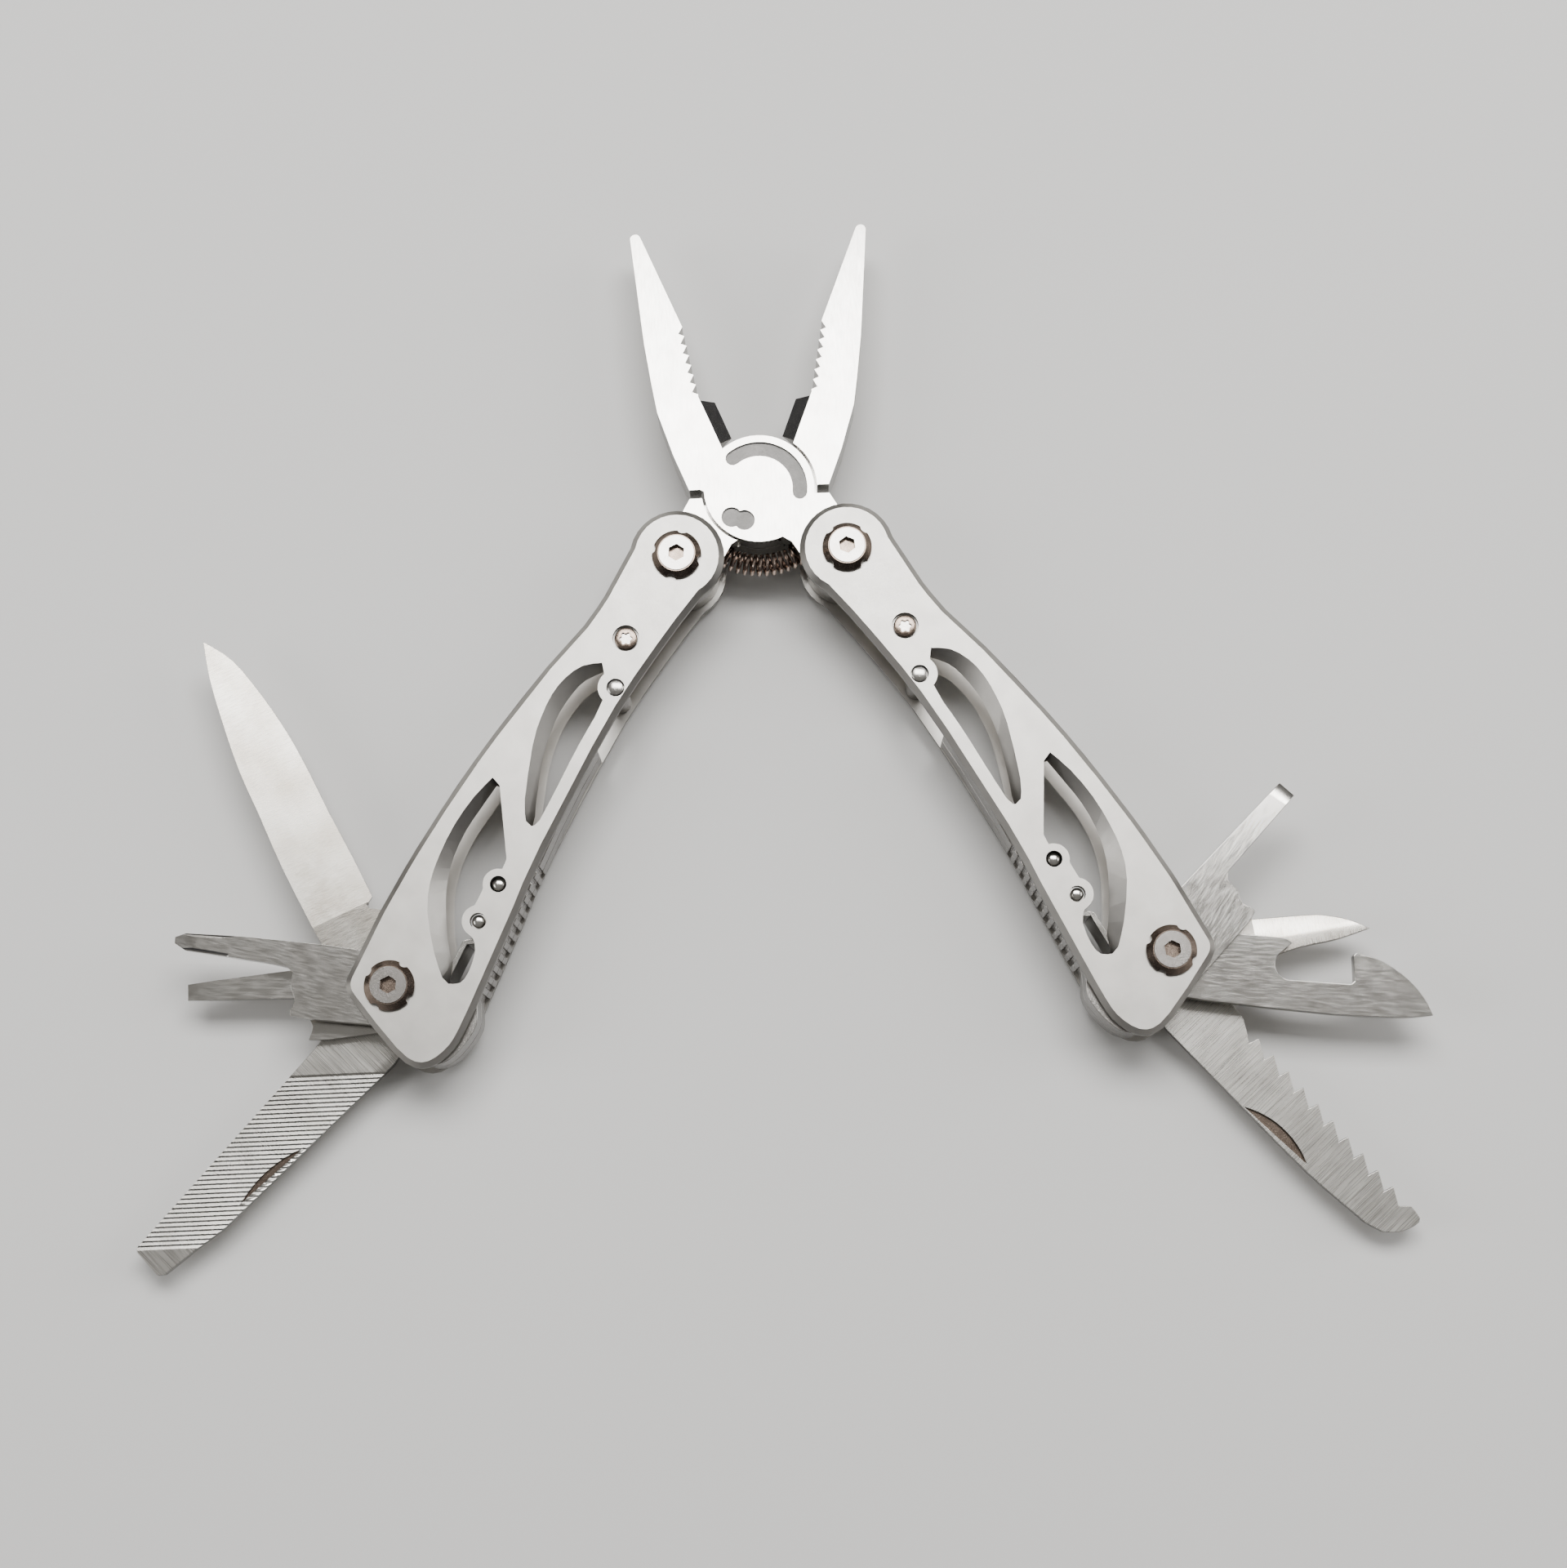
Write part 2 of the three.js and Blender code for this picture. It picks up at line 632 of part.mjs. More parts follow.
function penBlade(levels) {
  const thin = levels[1] - levels[0];
  const back = smooth([[-3.8, 13.1], [-2.9, 23.9], [-2.2, 27.4], [-0.9, 30.7], [1.0, 33.6]], 12);
  const edge = smooth([[1.0, 33.6], [1.9, 28], [2.2, 21.8], [3.2, 17], [5.6, 13]], 12);
  const body = [[6.4, 0], [7.0, 11.5], ...edge.toReversed(), ...back.toReversed().slice(1), [-4.8, 4]];
  return cut(toolBlank(body, levels), ...edgeGrind(levels, 0.2, -3.0, thin * 0.25, 15, 36));
}

function canOpener(levels) {
  const [low, high] = levels;
  const body = [
    [6.4, 0],
    [7.2, 6],
    [8.0, 16],
    ...smooth([[8.7, 27], [8.8, 33], [8.7, 39], [8.2, 42.8]], 8),
    ...smooth([[6.4, 42.0], [4.1, 40.3], [1.7, 37.7], [-0.4, 34.2], [-1.4, 30.4]], 10),
    [-0.9, 30.0],
    [3.2, 30.2],
    [3.7, 29.6],
    [3.4, 20.0],
    ...arc(0.9, 19.9, 2.5, 0, -150, 9),
    [-2.6, 20.2],
    [-3.4, 18.9],
    [-3.7, 12.3],
    [-4.8, 4],
  ];
  // The beak is ground from the front face towards its curved edge.
  const grind = prismAlong("y", [[-7, low + 0.5], [0.5, high], [0.5, high + 2], [-7, high + 2]], -8, 8)
    .rotateZ(radians(-35))
    .translate(1.2, 39.5, 0);
  return cut(toolBlank(body, levels), grind);
}

function saw(levels) {
  const [low, high] = levels;
  const thickness = [low + 0.2, high - 0.2];
  const teeth = { count: 10, first: 20.0, pitch: 3.5, height: 1.8, lead: 0.45 };
  const edgeAt = (y) => -2.2 + (y - teeth.first) * 0.031;
  const toothed = Array.from({ length: teeth.count }, (_, i) => {
    const root = teeth.first + i * teeth.pitch;
    return [
      [edgeAt(root) + teeth.height, root - 0.5],
      [edgeAt(root), root],
      [edgeAt(root) + 0.25, root + teeth.lead],
      [edgeAt(root) + teeth.height - 0.25, root + teeth.pitch - 0.8],
    ];
  }).flat();
  const body = [
    [6.4, 0],
    [7.8, 8.7],
    ...smooth([[7.6, 26.3], [7.3, 40.7], [6.1, 52.5]], 8),
    ...smooth([[5.1, 55.4], [3.2, 57.2], [0.6, 58.2], [-0.8, 57.9], [-1.1, 55.6]], 8),
    ...toothed.toReversed(),
    [-1.6, 17.8],
    [-2.6, 16.0],
    [-2.9, 12.5],
    [-4.8, 4],
  ];
  return cut(toolBlank(body, thickness), nailNick([7.3, 26.4], [6.4, 39.5], 1.6, thickness[1]));
}

// ---------------------------------------------------------------- pliers
// Jaw coordinates: closed, with the pliers' pivot at 0, 0 and this jaw on the -x side of +y.

const MATING = -0.25; // the closed jaws keep twice this between them

function jaw() {
  const serrations = { count: 7, top: 31.4, bottom: 19.1, depth: 0.95 };
  const pitch = (serrations.top - serrations.bottom) / serrations.count;
  const crestAt = (y) => MATING - ((serrations.top - y) / (serrations.top - serrations.bottom)) * 2.4;
  const teeth = Array.from({ length: serrations.count }, (_, i) => {
    const y = serrations.bottom + i * pitch;
    return [
      [crestAt(y + 0.1), y + 0.1],
      [crestAt(y + pitch / 2) - serrations.depth, y + pitch / 2],
    ];
  }).flat();
  const profile = [
    [-2.8, 0],
    [-2.8, 18.8],
    ...teeth,
    [MATING, serrations.top],
    [MATING, 49.4],
    ...arc(MATING - 0.9, 49.4, 0.9, 0, 168, 7),
    ...smooth([[-7.3, 31.4], [-9.1, 24.0], [-10.2, 19.0]], 4),
    [-10.75, 11],
    [-10.75, 4.4],
    [-9.1, 3.8],
    [-6, 0],
  ];
  // Seen from the side, the jaw thins towards its tip.
  const half = { root: JAW_THICKNESS / 2, tip: 2.1 };
  const side = [
    [-2, MID_Z - half.root],
    [14, MID_Z - half.root],
    [50.6, MID_Z - half.tip],
    [50.6, MID_Z + half.tip],
    [14, MID_Z + half.root],
    [-2, MID_Z + half.root],
  ];
  const body = common(plate(profile, 0, TOP_Z), prismAlong("x", side, -20, 5));
  // The wire cutter: a wedge whose edge lies on the mid plane.
  const back = 1.8; // half the cutter's thickness where it leaves the jaw
  const [low, high] = [MID_Z - back, MID_Z + back];
  const wedge = [[-3, low], [-2.8, low], [MATING, MID_Z], [-2.8, high], [-3, high]];
  const plan = [[-3, 10.4], [MATING + 1, 11.2], [MATING + 1, 17.6], [-3, 19.0]];
  const cutter = common(prismAlong("y", wedge, 9, 20), plate(plan, 0, TOP_Z));
  return join(body, cutter).rotateZ(radians(JAW_OPENING));
}

// The arm from the disc to the handle pivot, on the right.
function tang() {
  const { x, y } = TOP_PIVOT;
  const profile = [
    [7.2, -1.2],
    [11.6, -1.3],
    [13.1, -3.9],
    [16.0, -4.9],
    [x, y],
    [7.4, -13.2],
    [6.1, -11.2],
    [5.0, -9.4],
    [3.4, -8.4],
    [1, -5],
  ];
  const boss = cylinder(BOSS_RADIUS, INNER_LOW_Z, INNER_HIGH_Z, x, y, 36);
  return join(plate(profile, JAW_LOW_Z, JAW_HIGH_Z), boss);
}

// A stretch of tube on the spring's arc, between two angles about the pliers' pivot.
function springPocket(from, to) {
  const section = outline(arc(0, 0, POCKET_RADIUS, 0, 360, 12).slice(1));
  const path = new THREE.CatmullRomCurve3(
    arc(0, 0, SPRING_RADIUS, from, to, 6).map(([x, y]) => new THREE.Vector3(x, y, MID_Z)),
  );
  return new THREE.ExtrudeGeometry(section, { steps: 4, extrudePath: path });
}

const RECESS_DEPTH = 0.45;

// A plain curved recess in the front of the disc, and a small two-lobed one below it.
function discRecesses() {
  const low = JAW_HIGH_Z - RECESS_DEPTH;
  const [inner, outer] = [5.6, 8.0];
  const width = (outer - inner) / 2;
  const middle = (outer + inner) / 2;
  const [from, to] = [-8, 128];
  const end = (angle) => [middle * Math.cos(radians(angle)), middle * Math.sin(radians(angle))];
  const curved = [
    ...arc(0, 0, outer, from, to, 18),
    ...arc(...end(to), width, to, to + 180, 6).slice(1, -1),
    ...arc(0, 0, inner, to, from, 16),
    ...arc(...end(from), width, from + 180, from + 360, 6).slice(1, -1),
  ];
  const lobes = [[-4.75, -4.75], [-2.65, -5.35]].map(([x, y]) => cylinder(1.7, low, TOP_Z, x, y, 20));
  return [plate(curved, low, TOP_Z), ...lobes];
}

// One half of the pliers: a jaw on the left, the front half of the disc and the tang on the right.
function plierHalf() {
  const split = MID_Z + GAP / 2;
  const { x, y } = TOP_PIVOT;
  const full = cut(
    join(jaw(), tang()),
    cylinder(DISC_CLEARANCE, 0, split, 0, 0, 48),
    springPocket(-67, -49),
    cylinder(PIVOT_BORE, 0, TOP_Z, x, y, 20),
  );
  return join(full, cylinder(DISC_RADIUS, split, JAW_HIGH_Z, 0, 0, 48));
}

const RIVET_BORE = 2.9;
const RIVET_COVER = 1.2; // of the front disc, over the rivet's blind bore
const JAW_RIVET = { radius: 2.6, head: 3.9, headDepth: 1.2 };

function frontJaw() {
  const blindBore = cylinder(RIVET_BORE, 0, JAW_HIGH_Z - RIVET_COVER, 0, 0, 28);
  return cut(plierHalf(), blindBore, ...discRecesses());
}

// The other half is the same forging turned over, with a bore and a seat for the rivet's head.
function backJaw() {
  const turnedOver = plierHalf().translate(0, 0, -MID_Z).rotateY(Math.PI).translate(0, 0, MID_Z);
  const bore = cylinder(RIVET_BORE, 0, TOP_Z, 0, 0, 28);
  const seat = cylinder(JAW_RIVET.head + GAP, 0, JAW_LOW_Z + JAW_RIVET.headDepth + GAP, 0, 0, 32);
  return cut(turnedOver, bore, seat);
}

function jawRivet() {
  const seat = JAW_LOW_Z + JAW_RIVET.headDepth;
  return turned([
    [0, JAW_LOW_Z],
    [JAW_RIVET.head - 0.3, JAW_LOW_Z],
    [JAW_RIVET.head, JAW_LOW_Z + 0.3],
    [JAW_RIVET.head, seat],
    [JAW_RIVET.radius, seat],
    [JAW_RIVET.radius, JAW_HIGH_Z - RIVET_COVER - GAP],
    [0, JAW_HIGH_Z - RIVET_COVER - GAP],
  ], 24);
}

// The coil spring that opens the pliers, wound on an arc between the two tangs.
class ArcHelix extends THREE.Curve {
  getPoint(t, target = new THREE.Vector3()) {
    const spring = { radius: 1.6, turns: 15, from: -129, to: -51 };
    const along = radians(spring.from + (spring.to - spring.from) * t);
    const phase = t * spring.turns * Math.PI * 2;
    const reach = SPRING_RADIUS + spring.radius * Math.cos(phase);
    return target.set(
      reach * Math.cos(along),
      reach * Math.sin(along),
      MID_Z + spring.radius * Math.sin(phase),
    );
  }
}

function jawSpring() {
  const wire = outline(arc(0, 0, 0.33, 0, 360, 5).slice(1));
  return new THREE.ExtrudeGeometry(wire, { steps: 120, extrudePath: new ArcHelix() });
}

// ---------------------------------------------------------------- assembly

const OUTER_LAYERS = [layerLevels(1)[0], layerLevels(0)[1]];
const INNER_LAYERS = [layerLevels(3)[0], layerLevels(2)[1]];

// Per side: each tool's shape, its finish, how far it stands open from folded, and its layer.
const TOOLS = {
  left: [
    ["phillips_driver", phillipsDriver, "polished", 109, 0],
    ["knife_blade", knife, "blade", 58.3, 1],
    ["flat_driver", flatDriver, "polished", 121, 2],
    ["file", file, "brushed", 168, 3],
  ],
  right: [
    ["small_flat_driver", smallDriver, "polished", 73, 0],
    ["can_bottle_opener", canOpener, "polished", 130, 1],
    ["pen_blade", penBlade, "blade", 118.4, 2],
    ["saw", saw, "brushed", 174.8, 3],
  ],
};
const NOTCH_TURNS = { left: [0, 20], right: [28, 8] }; // lower and upper pivot screws, degrees

function handle(side) {
  const isLeft = side === "left";
  const sign = isLeft ? -1 : 1;
  const place = (geometry) => (isLeft ? mirrored(geometry, -1, 1, 1) : geometry);
  const [lowTurn, highTurn] = NOTCH_TURNS[side];
  const group = new THREE.Group();
  const add = (name, geometry, finish) => {
    const mesh = named(`${side}_${name}`, place(geometry), finish);
    group.add(mesh);
    return mesh;
  };

  add("front_plate", frontPlate(), "satin");
  add("back_plate", atTheBack(frontPlate()), "satin");
  add("lower_pivot_screw", pivotScrew(lowTurn), "hardware");
  add("lower_pivot_barrel", pivotBarrel(lowTurn), "hardware");
  add("upper_pivot_screw", pivotScrew(highTurn), "hardware").position.y = HANDLE_LENGTH;
  add("upper_pivot_barrel", pivotBarrel(highTurn), "hardware").position.y = HANDLE_LENGTH;
  add("front_spacer_screw", spacerScrew(), "hardware");
  add("back_spacer_screw", atTheBack(spacerScrew()), "hardware");
  add("spacer_tube", spacerTube(), "hardware");
  add("plate_rivet", shoulderRivet(), "hardware");
  add("lock_pin", domedPin(LOCK_PIN), "polished");
  add("stop_pin", domedPin(STOP_PIN), "polished");
  add("lock_spring", lockSpring(), "polished");
  add("front_lock_bar", lockBar(...OUTER_LAYERS), "hardware");
  add("back_lock_bar", lockBar(...INNER_LAYERS), "hardware");
  for (const [name, shape, finish, open, layer] of TOOLS[side]) {
    add(name, shape(layerLevels(layer)), finish).rotation.z = -sign * radians(open);
  }

  // The group's origin is the lower pivot; its upper pivot sits on the pliers' tang.
  const lean = radians(HANDLE_SPREAD);
  group.rotation.z = sign * lean;
  group.position.set(
    sign * (TOP_PIVOT.x + HANDLE_LENGTH * Math.sin(lean)),
    TOP_PIVOT.y - HANDLE_LENGTH * Math.cos(lean),
    0,
  );
  return group;
}

const tool = new THREE.Group();
tool.add(
  named("front_jaw", frontJaw(), "polished"),
  named("back_jaw", backJaw(), "polished"),
  named("jaw_rivet", jawRivet(), "polished"),
  named("jaw_spring", jawSpring(), "spring"),
  handle("left"),
  handle("right"),
);

const bounds = new THREE.Box3().setFromObject(tool, true);
const centre = bounds.getCenter(new THREE.Vector3());
tool.position.set(-centre.x, -centre.y, -bounds.min.z);

export default tool;
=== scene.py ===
"""The looks of a plier multi-tool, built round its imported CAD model. Metres, +Z up, in the CAD's own frame.

Every CAD node is stood for by a finer piece. Flat pieces keep the CAD's shape and gain rounded edges,
the file gains its teeth, and turned pieces and the coil spring are built again in full detail.
"""

import json
import math

import bmesh
import bpy
from mathutils import Matrix, Vector

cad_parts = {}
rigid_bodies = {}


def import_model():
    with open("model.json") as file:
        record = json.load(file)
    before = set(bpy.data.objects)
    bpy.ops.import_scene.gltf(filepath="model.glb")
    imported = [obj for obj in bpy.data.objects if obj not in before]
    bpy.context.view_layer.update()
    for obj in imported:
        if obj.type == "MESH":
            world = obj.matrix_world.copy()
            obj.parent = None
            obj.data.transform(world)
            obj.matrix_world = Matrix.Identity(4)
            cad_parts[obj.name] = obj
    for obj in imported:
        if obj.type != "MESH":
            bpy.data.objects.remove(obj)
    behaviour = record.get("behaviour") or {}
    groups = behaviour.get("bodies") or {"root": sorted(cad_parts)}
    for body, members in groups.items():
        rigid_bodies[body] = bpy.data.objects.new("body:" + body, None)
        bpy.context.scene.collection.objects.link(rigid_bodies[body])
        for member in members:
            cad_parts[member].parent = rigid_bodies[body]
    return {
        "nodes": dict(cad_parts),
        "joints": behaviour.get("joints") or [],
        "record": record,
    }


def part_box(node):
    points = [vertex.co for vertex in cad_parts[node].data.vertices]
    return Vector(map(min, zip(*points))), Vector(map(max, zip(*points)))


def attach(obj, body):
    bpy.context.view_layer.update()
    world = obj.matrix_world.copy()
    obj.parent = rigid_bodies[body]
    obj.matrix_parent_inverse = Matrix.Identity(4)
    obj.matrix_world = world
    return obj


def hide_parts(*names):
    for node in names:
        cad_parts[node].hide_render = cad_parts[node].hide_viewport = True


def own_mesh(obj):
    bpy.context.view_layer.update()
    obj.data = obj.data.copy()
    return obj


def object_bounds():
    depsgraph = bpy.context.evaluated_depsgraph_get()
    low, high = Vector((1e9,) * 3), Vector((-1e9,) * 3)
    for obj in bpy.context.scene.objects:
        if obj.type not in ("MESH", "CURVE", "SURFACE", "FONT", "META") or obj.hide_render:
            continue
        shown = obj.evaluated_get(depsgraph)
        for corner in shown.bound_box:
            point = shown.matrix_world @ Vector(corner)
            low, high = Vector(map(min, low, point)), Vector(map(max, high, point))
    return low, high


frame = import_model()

MM = 0.001
CAD_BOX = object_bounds()
JOINTS = {joint["name"]: joint for joint in frame["joints"]}
SLOTS = {part["node"]: part["material_slot"] for part in frame["record"]["subparts"]}
BODY_OF = {node: body for body, nodes in frame["record"]["behaviour"]["bodies"].items() for node in nodes}
SIDES = {"left": -1, "right": 1}

# ---------------------------------------------------------------- places, read from the frame


def pivot(joint):
    return Vector(JOINTS[joint]["pos_m"])


JAW_PIVOT = pivot("jaw_pivot")
MID_Z = JAW_PIVOT.z
UPPER = {side: pivot(f"{side}_handle_fold") for side in SIDES}
LOWER = {"left": pivot("left_file_fold"), "right": pivot("right_saw_fold")}
FRONT_FACE_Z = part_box("left_front_plate")[1].z
TOP_Z = CAD_BOX[1].z


def standing(place, along):
    """A frame at place whose Y axis points along a direction in plan, level with the floor."""
    turn = math.atan2(-along.x, along.y)
    return Matrix.Translation((place.x, place.y, 0)) @ Matrix.Rotation(turn, 4, "Z")


def handle_frame(side):
    return standing(LOWER[side], UPPER[side] - LOWER[side])


def tool_frame(node):
    """The frame of an opened tool: its pivot, and Y along its length."""
    joint = JOINTS[f"{node}_fold"]
    side = node.split("_")[0]
    opened = math.radians(-joint["range_deg"][0]) * joint["axis"][2]
    along = Matrix.Rotation(opened, 3, "Z") @ (UPPER[side] - LOWER[side])
    return standing(Vector(joint["pos_m"]), along)


# ---------------------------------------------------------------- materials


OWN_AXES = "own_axes"  # a piece's points in its own frame, so that its grain turns with it


class Nodes:
    """A small helper that adds and links shader nodes."""

    def __init__(self, name):
        self.material = bpy.data.materials.new(name)
        self.material.use_nodes = True
        self.tree = self.material.node_tree
        self.shader = self.tree.nodes["Principled BSDF"]

    def add(self, kind, **settings):
        node = self.tree.nodes.new(kind)
        for key, value in settings.items():
            setattr(node, key, value)
        return node

    def link(self, source, target):
        self.tree.links.new(source, target)

    def noise(self, per_mm, detail=3.0):
        """Noise with that many features per millimetre along the piece's own axes."""
        place = self.add("ShaderNodeAttribute", attribute_name=OWN_AXES)
        scaled = self.add("ShaderNodeMapping")
        scaled.inputs["Scale"].default_value = [count / MM for count in per_mm]
        self.link(place.outputs["Vector"], scaled.inputs["Vector"])
        noise = self.add("ShaderNodeTexNoise")
        noise.inputs["Scale"].default_value = 1.0
        noise.inputs["Detail"].default_value = detail
        self.link(scaled.outputs["Vector"], noise.inputs["Vector"])
        return noise.outputs["Fac"]

    def spread(self, value, low, high, middle=(0.3, 0.7)):
        remap = self.add("ShaderNodeMapRange")
        remap.inputs["From Min"].default_value = middle[0]
        remap.inputs["From Max"].default_value = middle[1]
        remap.inputs["To Min"].default_value = low
        remap.inputs["To Max"].default_value = high
        self.link(value, remap.inputs["Value"])
        return remap.outputs["Result"]

    def tints(self, value, dark, light, walls=1.0):
        """A base colour between two tints. Walls and bevels take only a share of it, which is painted shade
        for the dark surroundings they reflect.
        """
        ramp = self.add("ShaderNodeValToRGB")
        ramp.color_ramp.elements[0].position = 0.3
        ramp.color_ramp.elements[1].position = 0.7
        ramp.color_ramp.elements[0].color = (*dark, 1)
        ramp.color_ramp.elements[1].color = (*light, 1)
        self.link(value, ramp.inputs["Fac"])
        facing = self.add("ShaderNodeNewGeometry")
        split = self.add("ShaderNodeSeparateXYZ")
        self.link(facing.outputs["Normal"], split.inputs["Vector"])
        level = self.add("ShaderNodeMath", operation="ABSOLUTE")
        self.link(split.outputs["Z"], level.inputs[0])
        shaded = self.add("ShaderNodeVectorMath", operation="SCALE")
        self.link(ramp.outputs["Color"], shaded.inputs[0])
        self.link(self.spread(level.outputs[0], walls, 1.0, (0.3, 0.9)), shaded.inputs["Scale"])
        self.link(shaded.outputs[0], self.shader.inputs["Base Color"])

    def bump(self, value, height_mm, before=None):
        bump = self.add("ShaderNodeBump")
        bump.inputs["Strength"].default_value = 1.0
        bump.inputs["Distance"].default_value = height_mm * MM
        self.link(value, bump.inputs["Height"])
        if before is not None:
            self.link(before, bump.inputs["Normal"])
        return bump.outputs["Normal"]


# Painted shade: walls and bevels take a darker base colour, standing in for the dark surroundings that faces
# turned sideways reflect.
WALL_SHADE_SHARE = 0.42  # how bright steel walls and bevels are beside its faces


def steel(name, dark, light, roughness, mottle, grain, grain_height, scratch_height=0.0, walls=WALL_SHADE_SHARE):
    """Steel: mottled colour and roughness, a grain along the piece, and fine handling scratches."""
    nodes = Nodes(name)
    nodes.shader.inputs["Metallic"].default_value = 1.0
    cloud = nodes.noise(mottle)
    nodes.tints(cloud, dark, light, walls)
    fine = nodes.noise(grain, 4.0)
    nodes.link(nodes.spread(fine, *roughness), nodes.shader.inputs["Roughness"])
    normal = nodes.bump(fine, grain_height)
    if scratch_height:
        scratches = nodes.noise((0.5, 14.0, 0.5), 1.0)
        normal = nodes.bump(nodes.spread(scratches, 0, 1, (0.66, 0.72)), scratch_height, normal)
    nodes.link(normal, nodes.shader.inputs["Normal"])
    return nodes.material


EVEN = (0.25, 0.25, 0.25)
LOOKS = {
    "satin_steel": {
        "dark": (0.46, 0.44, 0.41), "light": (0.53, 0.51, 0.475), "roughness": (0.34, 0.46),
        "mottle": EVEN, "grain": (6, 6, 6), "grain_height": 0.004,
    },
    "polished_steel": {
        "dark": (0.60, 0.575, 0.535), "light": (0.68, 0.66, 0.62), "roughness": (0.13, 0.22),
        "mottle": EVEN, "grain": (3, 0.4, 3), "grain_height": 0.0006, "scratch_height": 0.0003,
    },
    "blade_steel": {
        "dark": (0.37, 0.335, 0.285), "light": (0.52, 0.495, 0.45), "roughness": (0.2, 0.32),
        "mottle": (0.16, 0.1, 0.2), "grain": (0.5, 9, 3), "grain_height": 0.0008, "scratch_height": 0.0003,
    },
    "brushed_steel": {
        "dark": (0.47, 0.45, 0.415), "light": (0.60, 0.58, 0.54), "roughness": (0.22, 0.36),
        "mottle": (0.2, 0.3, 0.2), "grain": (0.12, 8, 2), "grain_height": 0.0012, "walls": 0.25,
    },
    "hardware_steel": {
        "dark": (0.46, 0.43, 0.40), "light": (0.58, 0.56, 0.53), "roughness": (0.16, 0.28),
        "mottle": EVEN, "grain": (5, 5, 1), "grain_height": 0.001,
    },
    "spring_steel": {
        "dark": (0.34, 0.26, 0.22), "light": (0.58, 0.46, 0.39), "roughness": (0.12, 0.20),
        "mottle": (0.5, 0.5, 0.5), "grain": (4, 4, 4), "grain_height": 0.001, "walls": 1.0,
    },
}
MATERIALS = {name: steel(name, **look) for name, look in LOOKS.items()}
# Painted shade: a dark brown steel that stands in for shade in sockets and nicks and for the dark
# surroundings reflected by sloping skirts and screw heads.
PAINTED_SHADE_STEEL = steel(
    "painted_shade_steel", dark=(0.20, 0.155, 0.125), light=(0.30, 0.235, 0.19), roughness=(0.18, 0.30),
    mottle=(0.5, 0.5, 0.5), grain=(5, 5, 1), grain_height=0.001,
)
# Painted shade: a darker, rougher steel on the floors of the disc's recesses.
RECESS_SHADE_STEEL = steel(
    "recess_shade_steel", dark=(0.20, 0.195, 0.185), light=(0.27, 0.26, 0.25), roughness=(0.5, 0.65),
    mottle=EVEN, grain=(7, 7, 7), grain_height=0.006,
)

# ---------------------------------------------------------------- mesh work


def new_piece(name, mesh, place=Matrix.Identity(4)):
    piece = bpy.data.objects.new(name, mesh)
    bpy.context.scene.collection.objects.link(piece)
    piece.matrix_world = place
    bpy.context.view_layer.update()
    return piece


def applied(piece):
    """The piece with its modifiers made part of its mesh."""
    graph = bpy.context.evaluated_depsgraph_get()
    mesh = bpy.data.meshes.new_from_object(piece.evaluated_get(graph))
    piece.modifiers.clear()
    piece.data = mesh
    return piece


def cut(piece, *cutters):
    for cutter in cutters:
        change = piece.modifiers.new("cut", "BOOLEAN")
        change.operation = "DIFFERENCE"
        change.solver = "MANIFOLD"
        change.object = cutter
        applied(piece)
        bpy.data.objects.remove(cutter)
    return piece


FLAT_DEGREES = 0.8  # faces within this angle of each other count as one flat face


def tidied(mesh, merge_mm=0.012):
    """Flat regions become single faces and slivers go, so that edges can be rounded evenly."""
    shape = bmesh.new()
    shape.from_mesh(mesh)
    bmesh.ops.remove_doubles(shape, verts=shape.verts, dist=merge_mm * MM)
    bmesh.ops.dissolve_limit(
        shape, angle_limit=math.radians(FLAT_DEGREES), verts=shape.verts, edges=shape.edges,
        use_dissolve_boundaries=False,
    )
    bmesh.ops.recalc_face_normals(shape, faces=shape.faces)
    shape.to_mesh(mesh)
    shape.free()


def smoothed(piece, sharp_degrees=34):
    """Smooth shading that stays flat across flat faces and crisp at true edges."""
    shape = bmesh.new()
    shape.from_mesh(piece.data)
    for face in shape.faces:
        face.smooth = True
    for edge in shape.edges:
        edge.smooth = edge.calc_face_angle(0) < math.radians(sharp_degrees)
    shape.to_mesh(piece.data)
    shape.free()
    weighted = piece.modifiers.new("normals", "WEIGHTED_NORMAL")
    weighted.keep_sharp = True
    weighted.weight = 100
    return applied(piece)


def rounded(piece, width_mm, from_degrees=32):
    tidied(piece.data)
    bevel = piece.modifiers.new("edges", "BEVEL")
    bevel.width = width_mm * MM
    bevel.segments = 3
    bevel.limit_method = "ANGLE"
    bevel.angle_limit = math.radians(from_degrees)
    bevel.use_clamp_overlap = True
    applied(piece)
    return smoothed(piece)


def refined(node, place, width_mm):
    """A copy of a CAD node's shape, in its own frame, with its edges rounded."""
    mesh = frame["nodes"][node].data.copy()
    mesh.transform(place.inverted())
    piece = new_piece(f"{node}_shape", mesh, place)
    return rounded(piece, width_mm)


def as_piece(name, shape, place):
    """A new piece from a finished bmesh, with its faces turned outwards."""
    bmesh.ops.recalc_face_normals(shape, faces=shape.faces)
    mesh = bpy.data.meshes.new(name)
    shape.to_mesh(mesh)
    shape.free()
    return new_piece(name, mesh, place)


def turned(name, profile_mm, place, sides=72):
    """A turned piece. The profile [radius, height] runs from the axis back to the axis."""
    shape = bmesh.new()
    turns = [2 * math.pi * i / sides for i in range(sides)]
    rings = []
    for radius, height in profile_mm:
        if radius == 0:
            rings.append([shape.verts.new((0, 0, height * MM))])
            continue
        reach = radius * MM
        ring = [(reach * math.cos(t), reach * math.sin(t), height * MM) for t in turns]
        rings.append([shape.verts.new(point) for point in ring])
    for low, high in zip(rings, rings[1:]):
        for i in range(sides):
            j = (i + 1) % sides
            corners = [low[i % len(low)], low[j % len(low)], high[j % len(high)], high[i % len(high)]]
            unique = list(dict.fromkeys(corners))
            if len(unique) > 2:
                shape.faces.new(unique)
    return as_piece(name, shape, place)


